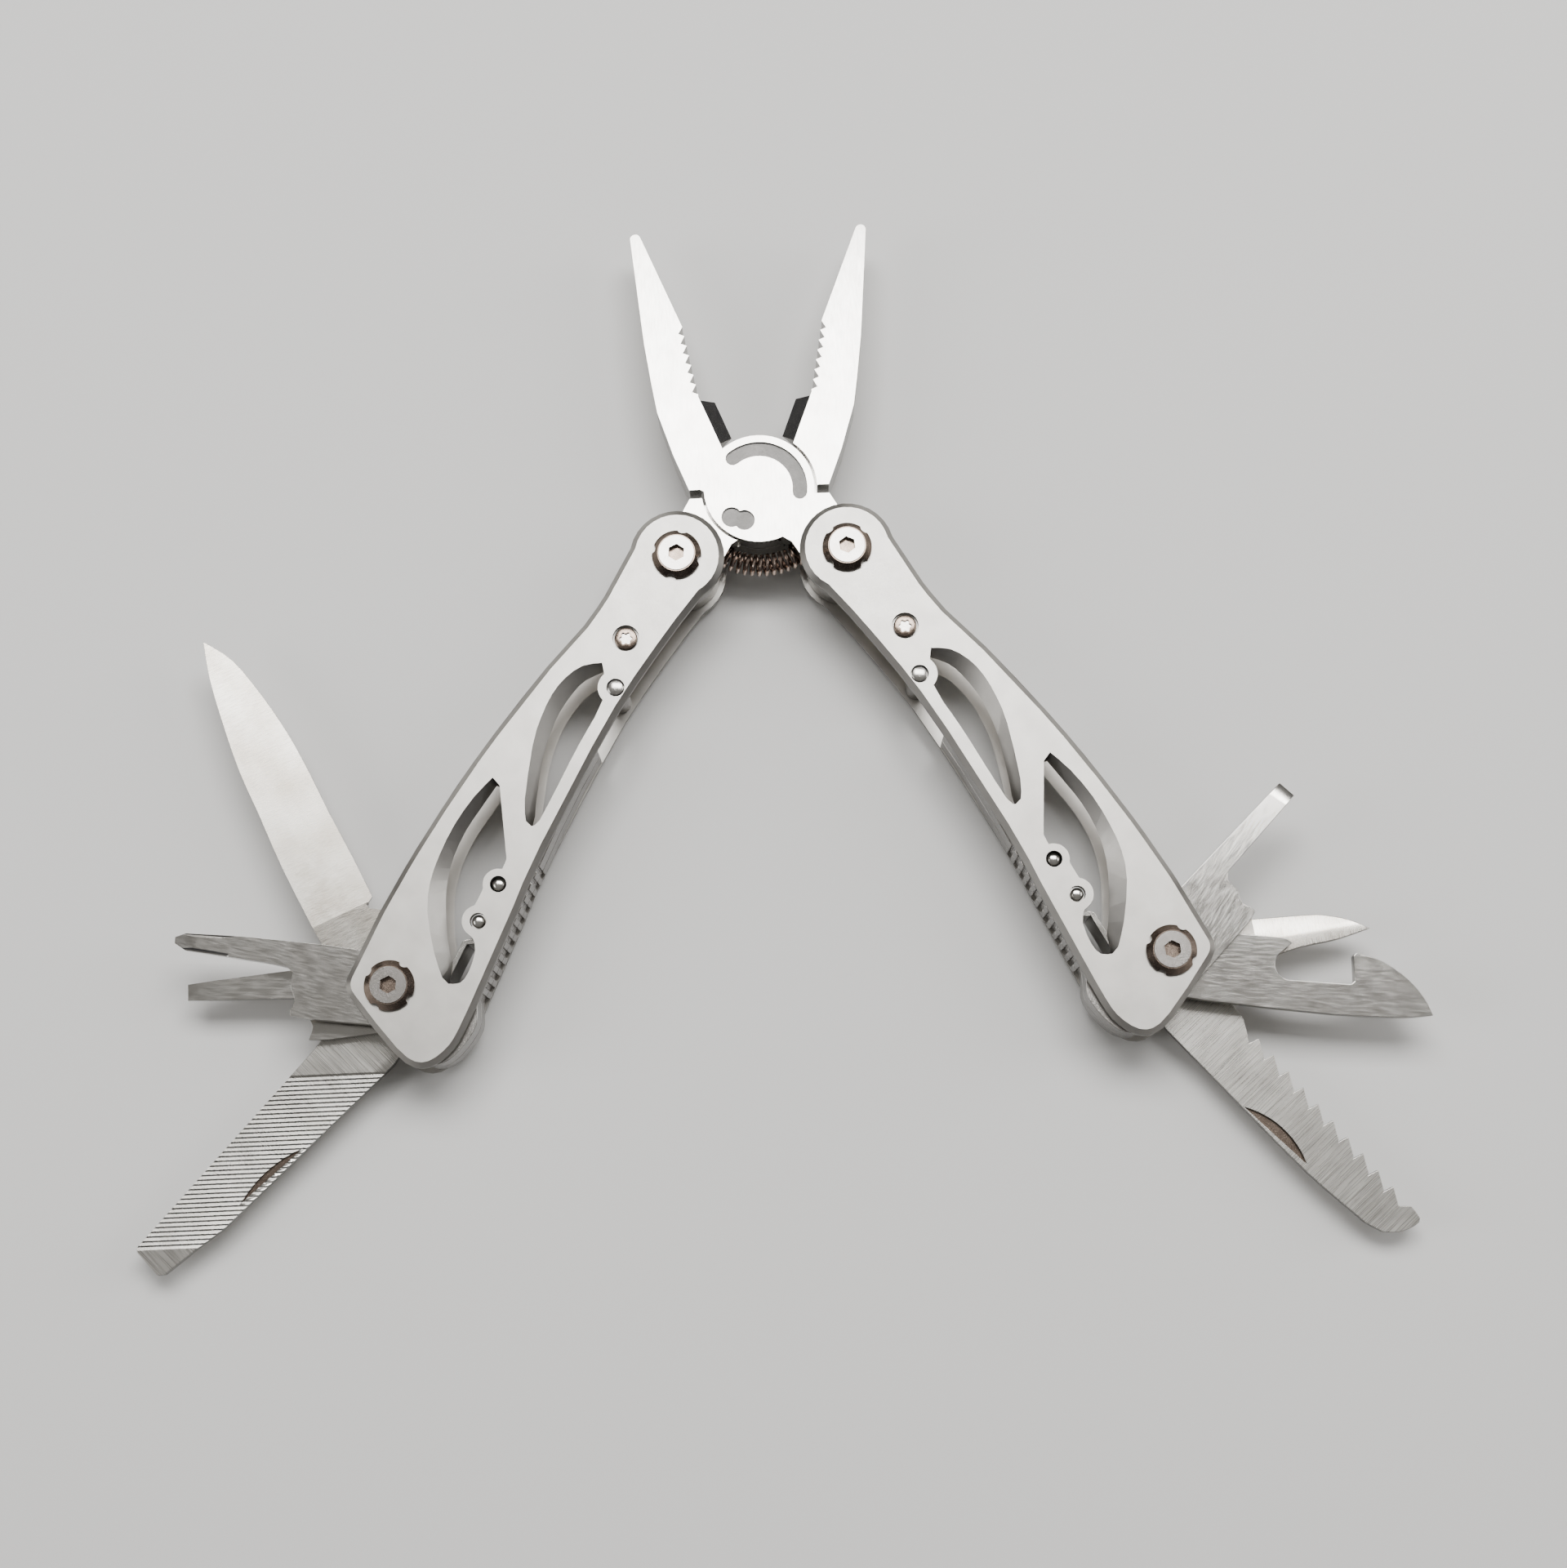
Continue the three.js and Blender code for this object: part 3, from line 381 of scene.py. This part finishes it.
def prism(name, corners_mm, low_mm, high_mm, place):
    """An upright prism over an outline in plan."""
    shape = bmesh.new()
    rings = [[shape.verts.new((x * MM, y * MM, z * MM)) for x, y in corners_mm] for z in (low_mm, high_mm)]
    shape.faces.new(reversed(rings[0]))
    shape.faces.new(rings[1])
    for i in range(len(corners_mm)):
        j = (i + 1) % len(corners_mm)
        shape.faces.new((rings[0][i], rings[0][j], rings[1][j], rings[1][i]))
    return as_piece(name, shape, place)


def finished(piece, *nodes, second=None, where=None):
    """Gives a piece its slot's material, stands it for its CAD nodes and lets it ride with their body.

    A second material goes on the faces that a test picks, given a face's centre and normal in the
    piece's own frame. The piece's points then move to the tool's frame, so its box is its true box.
    """
    slot = SLOTS[nodes[0]]
    mesh = piece.data
    mesh.materials.clear()
    mesh.materials.append(MATERIALS[slot])
    if second:
        mesh.materials.append(second)
        for face in mesh.polygons:
            face.material_index = int(where(face.center / MM, face.normal))
    own_axes = mesh.attributes.new(OWN_AXES, "FLOAT_VECTOR", "POINT")
    own_axes.data.foreach_set("vector", [level for point in mesh.vertices for level in point.co])
    mesh.transform(piece.matrix_world)
    piece.matrix_world = Matrix.Identity(4)
    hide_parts(*nodes)
    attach(piece, BODY_OF[nodes[0]])
    return piece


def centre_of(node):
    low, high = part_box(node)
    return Vector(((low.x + high.x) / 2, (low.y + high.y) / 2, 0))


# ---------------------------------------------------------------- flat pieces, from the CAD's shape

EDGE_WIDTHS = {
    "front_plate": 0.16,
    "back_plate": 0.16,
    "lock_spring": 0.10,
    "front_lock_bar": 0.14,
    "back_lock_bar": 0.14,
    "spacer_tube": 0.12,
}
TOOLS = [
    joint["child"] for joint in frame["joints"]
    if joint["parent"].endswith("_handle") and not joint["child"].endswith("_lock_bar")
]
TOOL_EDGE = 0.10
JAW_EDGE = 0.16
DISC_FACE = MID_Z / MM + 4.1  # the front face of the pliers' disc
RECESS = {"floor": DISC_FACE - 0.45, "reach": 8.7}  # the stamped recesses in that face
NEARLY = 0.05  # heights closer than this, in mm, count as the same
CLEAR = 1  # how far a cutter stands past the face it cuts, in mm

for side in SIDES:
    for part, width in EDGE_WIDTHS.items():
        node = f"{side}_{part}"
        finished(refined(node, handle_frame(side), width), node)


# The recess floors, which take the painted shade.
def in_a_recess(centre, _normal):
    inside = math.hypot(centre.x, centre.y) < RECESS["reach"]
    return inside and RECESS["floor"] - 2 * NEARLY < centre.z < DISC_FACE - NEARLY


JAW_PLACE = Matrix.Translation((JAW_PIVOT.x, JAW_PIVOT.y, 0))
for node in ("front_jaw", "back_jaw"):
    finished(refined(node, JAW_PLACE, JAW_EDGE), node, second=RECESS_SHADE_STEEL, where=in_a_recess)

# The file's cuts, with places from its pivot. Between cuts the comb clears the face by a hair.
FILE_CUTS = {"pitch": 0.72, "depth": 0.16, "from": -12.8, "to": -39.6, "steep": 0.26, "hair": 0.002}
COMB_ENDS = (-60, 20)  # past both of the file's edges


def file_teeth():
    """A comb that cuts the file's face. Its ridges run along X with the file at rest."""
    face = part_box("left_file")[1].z / MM
    first, last, pitch = FILE_CUTS["to"], FILE_CUTS["from"], FILE_CUTS["pitch"]
    ridge, groove = face + FILE_CUTS["hair"], face - FILE_CUTS["depth"]
    profile = [(last, face + CLEAR), (first, face + CLEAR)]
    for i in range(round((last - first) / pitch)):
        start = first + i * pitch
        profile.append((start, ridge))
        profile.append((start + pitch - FILE_CUTS["steep"], groove))
    profile.append((last, ridge))
    # The comb's section is drawn across the ridges, so its X, Y and Z stand for the tool's Y, Z and X.
    on_its_side = Matrix(((0, 0, 1, 0), (1, 0, 0, 0), (0, 1, 0, 0), (0, 0, 0, 1)))
    place = Matrix.Translation((LOWER["left"].x, LOWER["left"].y, 0)) @ on_its_side
    return prism("comb", profile, *COMB_ENDS, place)


# A nail nick's depth, and the tools that have one with the height of their front face, in mm.
NICK_DEPTH = 0.6
NICKED = {"left_file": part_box("left_file")[1].z / MM, "right_saw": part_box("right_saw")[1].z / MM}


# The nick's floor takes the dark steel: painted shade in the hollow.
def in_a_nick_of(node):
    floor_z = NICKED[node] - NICK_DEPTH
    return lambda centre, _normal: abs(centre.z - floor_z) < NEARLY


for node in TOOLS:
    piece = refined(node, tool_frame(node), TOOL_EDGE)
    if node == "left_file":
        piece = smoothed(cut(piece, file_teeth()))
    if node in NICKED:
        finished(piece, node, second=PAINTED_SHADE_STEEL, where=in_a_nick_of(node))
    else:
        finished(piece, node)

# ---------------------------------------------------------------- pivot screws

HEAD = {"radius": 4.05, "face": 2.95, "rim": 0.35, "scallop": 0.85, "scallop_at": 4.4}
HEX_RADIUS = 2.5 / math.sqrt(3)  # the corners of a socket for a 2.5 mm key
SOCKET_DEPTH = 1.3
SHANK = 1.5
SLEEVE = 2.6
BORE = {"radius": 1.8, "end": FRONT_FACE_Z / MM - 1.7}
HEAD_Z = FRONT_FACE_Z / MM + 0.2
TOP = TOP_Z / MM


def head_profile():
    """The head: a thin rim, a conical skirt and a flat face with a fine step round it."""
    face = HEAD["face"]
    return [
        (HEAD["radius"] - 0.1, HEAD_Z),
        (HEAD["radius"], HEAD_Z + 0.1),
        (HEAD["radius"], HEAD_Z + HEAD["rim"]),
        (face + 0.14, TOP - 0.2),
        (face + 0.02, TOP - 0.2),
        (face, TOP - 0.08),
        (face - 0.06, TOP),
        (0, TOP),
    ]


def head_cutters(place, notch_turn):
    """A hexagon socket, and four round scallops that go right through the skirt."""
    corners = [math.radians(60 * i) for i in range(6)]
    hexagon = [(HEX_RADIUS * math.cos(a), HEX_RADIUS * math.sin(a)) for a in corners]
    cutters = [prism("socket", hexagon, TOP - SOCKET_DEPTH, TOP + CLEAR, place)]
    turns = [math.radians(15 * i) for i in range(24)]
    reach, at = HEAD["scallop"], HEAD["scallop_at"]
    scallop = [(at + reach * math.cos(a), reach * math.sin(a)) for a in turns]
    for quarter in range(4):
        turn = place @ Matrix.Rotation(math.radians(90 * quarter + notch_turn), 4, "Z")
        cutters.append(prism("scallop", scallop, HEAD_Z - 0.1, TOP + CLEAR, turn))
    return cutters


def on_the_skirt(centre, _normal):
    """The skirt and the socket, which are darker than the face: painted shade, for the dark surroundings the
    sloping skirt reflects and for the shade in the socket.
    """
    reach = math.hypot(centre.x, centre.y)
    if centre.z < HEAD_Z:
        return False
    in_the_socket = reach < HEX_RADIUS and centre.z < TOP - NEARLY
    return reach > HEAD["face"] or in_the_socket


def turned_over(place):
    """A place over the same point with its Z axis pointing down, about the tool's mid plane."""
    over = Matrix.Translation((place.translation.x, place.translation.y, 2 * MID_Z))
    return over @ Matrix.Rotation(math.pi, 4, "Y")


def pivot_screw(node, place, notch_turn):
    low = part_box(node)[0].z / MM
    profile = [(0, low), (SHANK - 0.2, low), (SHANK, low + 0.2), (SHANK, HEAD_Z), *head_profile()]
    piece = turned(f"{node}_shape", profile, place)
    return smoothed(cut(piece, *head_cutters(place, notch_turn)))


def pivot_barrel(node, place, notch_turn):
    """The sleeve and back head. It is drawn face up and its frame turns it over."""
    sleeve_end = (2 * MID_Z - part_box(node)[1].z) / MM
    over = turned_over(place)
    profile = [(0, sleeve_end), (SLEEVE - 0.15, sleeve_end), (SLEEVE, sleeve_end + 0.15), (SLEEVE, HEAD_Z)]
    piece = turned(f"{node}_shape", [*profile, *head_profile()], over)
    radius, end = BORE["radius"], BORE["end"]
    bore = turned("bore", [(0, -CLEAR), (radius, -CLEAR), (radius, end), (0, end)], over)
    return smoothed(cut(piece, bore, *head_cutters(over, notch_turn)))


SCREW_LOOKS = {"second": PAINTED_SHADE_STEEL, "where": on_the_skirt}
NOTCH_TURNS = {"left_lower": 0, "left_upper": 20, "right_lower": 28, "right_upper": 8}  # degrees
for end, turn in NOTCH_TURNS.items():
    side, level = end.split("_")
    centre = (LOWER if level == "lower" else UPPER)[side]
    place = standing(centre, UPPER[side] - LOWER[side])
    finished(pivot_screw(f"{end}_pivot_screw", place, turn), f"{end}_pivot_screw", **SCREW_LOOKS)
    finished(pivot_barrel(f"{end}_pivot_barrel", place, turn), f"{end}_pivot_barrel", **SCREW_LOOKS)

# ---------------------------------------------------------------- small screws, rivets and pins


def lobed(radius, lobes, depth=0.14, points=60):
    """A round outline with shallow lobes. Their depth is a share of the radius."""
    turns = [2 * math.pi * i / points for i in range(points)]
    reach = [radius * (1 - depth + depth * math.cos(lobes * t)) for t in turns]
    return [(r * math.cos(t), r * math.sin(t)) for r, t in zip(reach, turns)]


SPACER_SCREW = {"shank": 0.85, "head": 0.6, "drive": 1.1, "drive_depth": 0.45, "drive_lobes": 6}


def spacer_screw(node, at_back):
    low, high = (corner.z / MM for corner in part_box(node))
    if at_back:
        low, high = 2 * MID_Z / MM - high, 2 * MID_Z / MM - low
    radius = (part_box(node)[1].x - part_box(node)[0].x) / 2 / MM
    shank = SPACER_SCREW["shank"]
    place = Matrix.Translation(centre_of(node))
    if at_back:
        place = turned_over(place)
    under = high - SPACER_SCREW["head"]
    profile = [
        (0, low), (shank - 0.15, low), (shank, low + 0.15), (shank, under),
        (radius - 0.1, under), (radius, under + 0.1),
        (radius, high - 0.28), (radius - 0.06, high - 0.1), (radius - 0.25, high), (0, high),
    ]
    piece = turned(f"{node}_shape", profile, place, 56)
    outline = lobed(SPACER_SCREW["drive"], SPACER_SCREW["drive_lobes"])
    drive = prism("drive", outline, high - SPACER_SCREW["drive_depth"], high + CLEAR, place)
    return smoothed(cut(piece, drive))


def round_the_drive(centre, _normal):
    """The head's ring, which is darker than the drive recess: painted shade, for the dark surroundings it
    reflects.
    """
    return math.hypot(centre.x, centre.y) > SPACER_SCREW["drive"] * 0.85


def plate_rivet(node):
    """A rivet whose thick middle keeps the two plates apart."""
    low, high = (corner.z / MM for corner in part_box(node))
    end, shoulder, end_length = 1.25, 1.9, 2.0
    inner_low, inner_high = low + end_length, high - end_length
    profile = [
        (0, low), (end - 0.12, low), (end, low + 0.08), (end, inner_low), (shoulder, inner_low),
        (shoulder, inner_high), (end, inner_high), (end, high - 0.08), (end - 0.12, high), (0, high),
    ]
    return smoothed(turned(f"{node}_shape", profile, Matrix.Translation(centre_of(node)), 48))


def domed_pin(node):
    low, high = (corner.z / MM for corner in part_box(node))
    radius, dome, steps = 1.05, 0.45, 8
    arcs = [math.radians(90 * i / steps) for i in range(steps + 1)]
    foot = [(radius * math.sin(a), low + dome * (1 - math.cos(a))) for a in arcs]
    crown = [(r, low + high - z) for r, z in reversed(foot)]
    return smoothed(turned(f"{node}_shape", foot + crown, Matrix.Translation(centre_of(node)), 48))


for side in SIDES:
    for end in ("front", "back"):
        node = f"{side}_{end}_spacer_screw"
        finished(spacer_screw(node, end == "back"), node, second=PAINTED_SHADE_STEEL, where=round_the_drive)
    finished(plate_rivet(f"{side}_plate_rivet"), f"{side}_plate_rivet")
    for pin in ("lock_pin", "stop_pin"):
        finished(domed_pin(f"{side}_{pin}"), f"{side}_{pin}")


def jaw_rivet():
    """The pliers' rivet, with its head at the back. Its face is dished a little."""
    low, high = (corner.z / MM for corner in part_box("jaw_rivet"))
    head = (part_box("jaw_rivet")[1].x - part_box("jaw_rivet")[0].x) / 2 / MM
    shank, head_height = 2.6, 1.2
    profile = [
        (0, low + 0.12), (head * 0.5, low + 0.06), (head - 0.35, low), (head - 0.08, low + 0.1),
        (head, low + 0.35), (head, low + head_height), (shank, low + head_height),
        (shank, high - 0.2), (shank - 0.2, high), (0, high),
    ]
    return smoothed(turned("jaw_rivet_shape", profile, JAW_PLACE))


finished(jaw_rivet(), "jaw_rivet")

# ---------------------------------------------------------------- coil spring

# The coil's arc and its own size in mm, its wire's radius, and its ends in degrees about the pivot.
SPRING = {"arc": 12.1, "radius": 1.6, "wire": 0.33, "turns": 15, "from": -129, "to": -51}


def coil_spring():
    """A round wire wound on an arc about the pliers' pivot."""
    per_turn, sides, nearby = 28, 10, 1e-4
    count = SPRING["turns"] * per_turn
    start, end = math.radians(SPRING["from"]), math.radians(SPRING["to"])

    def at(share):
        along = start + (end - start) * share
        phase = share * SPRING["turns"] * 2 * math.pi
        reach = SPRING["arc"] + SPRING["radius"] * math.cos(phase)
        height = SPRING["radius"] * math.sin(phase)
        return Vector((reach * math.cos(along), reach * math.sin(along), height)) * MM

    shape = bmesh.new()
    rings = []
    turns = [2 * math.pi * k / sides for k in range(sides)]
    wire = SPRING["wire"] * MM
    for i in range(count + 1):
        share = i / count
        point = at(share)
        heading = (at(share + nearby) - at(share - nearby)).normalized()
        along = start + (end - start) * share
        axis_point = Vector((math.cos(along), math.sin(along), 0)) * SPRING["arc"] * MM
        outward = (point - axis_point).normalized()
        side = heading.cross(outward).normalized()
        outward = side.cross(heading)
        rings.append([
            shape.verts.new(point + wire * (math.cos(t) * outward + math.sin(t) * side)) for t in turns
        ])
    for low, high in zip(rings, rings[1:]):
        for k in range(sides):
            following = (k + 1) % sides
            shape.faces.new((low[k], low[following], high[following], high[k]))
    shape.faces.new(reversed(rings[0]))
    shape.faces.new(rings[-1])
    return smoothed(as_piece("jaw_spring_wire", shape, Matrix.Translation(JAW_PIVOT)))


spring = finished(coil_spring(), "jaw_spring")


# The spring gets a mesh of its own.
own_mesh(spring)

# ---------------------------------------------------------------- floor, light and camera


def floor():
    bpy.ops.mesh.primitive_plane_add(size=4)
    plane = bpy.context.object
    plane.name = "floor"
    nodes = Nodes("pale_floor")
    nodes.tints(nodes.noise((0.02, 0.02, 0.02)), (0.72, 0.71, 0.69), (0.76, 0.75, 0.73))
    nodes.shader.inputs["Roughness"].default_value = 0.9
    plane.data.materials.append(nodes.material)


def softbox(name, place, size, power, target=(0, 0, 0)):
    light = bpy.data.lights.new(name, "AREA")
    light.shape = "RECTANGLE"
    light.size, light.size_y = size
    light.energy = power
    lamp = bpy.data.objects.new(name, light)
    bpy.context.scene.collection.objects.link(lamp)
    lamp.location = place
    lamp.rotation_mode = "QUATERNION"
    lamp.rotation_quaternion = (Vector(target) - Vector(place)).to_track_quat("-Z", "Y")


def sky():
    """Even studio surroundings, darker towards the horizon."""
    world = bpy.data.worlds.new("studio")
    bpy.context.scene.world = world
    world.use_nodes = True
    tree = world.node_tree
    place = tree.nodes.new("ShaderNodeTexCoord")
    split = tree.nodes.new("ShaderNodeSeparateXYZ")
    ramp = tree.nodes.new("ShaderNodeValToRGB")
    ramp.color_ramp.elements[0].position = 0.35
    ramp.color_ramp.elements[0].color = (0.07, 0.07, 0.075, 1)
    ramp.color_ramp.elements[1].position = 0.95
    ramp.color_ramp.elements[1].color = (0.24, 0.235, 0.225, 1)
    tree.links.new(place.outputs["Generated"], split.inputs["Vector"])
    tree.links.new(split.outputs["Z"], ramp.inputs["Fac"])
    tree.links.new(ramp.outputs["Color"], tree.nodes["Background"].inputs["Color"])
    tree.nodes["Background"].inputs["Strength"].default_value = 1.0


CAMERA = {"place": (0.0022, -0.0852, 0.4168), "tilt": 10.5, "roll": -2.6, "lens": 58.1}


def camera():
    data = bpy.data.cameras.new("camera")
    data.lens = CAMERA["lens"]
    data.sensor_width = 36
    data.clip_start = 0.01
    eye = bpy.data.objects.new("camera", data)
    bpy.context.scene.collection.objects.link(eye)
    tilt = Matrix.Rotation(math.radians(CAMERA["tilt"]), 4, "X")
    roll = Matrix.Rotation(math.radians(CAMERA["roll"]), 4, "Z")
    eye.matrix_world = Matrix.Translation(CAMERA["place"]) @ tilt @ roll
    bpy.context.scene.camera = eye


camera()
floor()
sky()
softbox("key", (0.05, 0.36, 0.85), (0.75, 0.34), 11)
softbox("fill_left", (-0.8, -0.1, 0.5), (0.4, 0.6), 2.5)
softbox("fill_right", (0.8, 0.1, 0.5), (0.4, 0.6), 2.5)
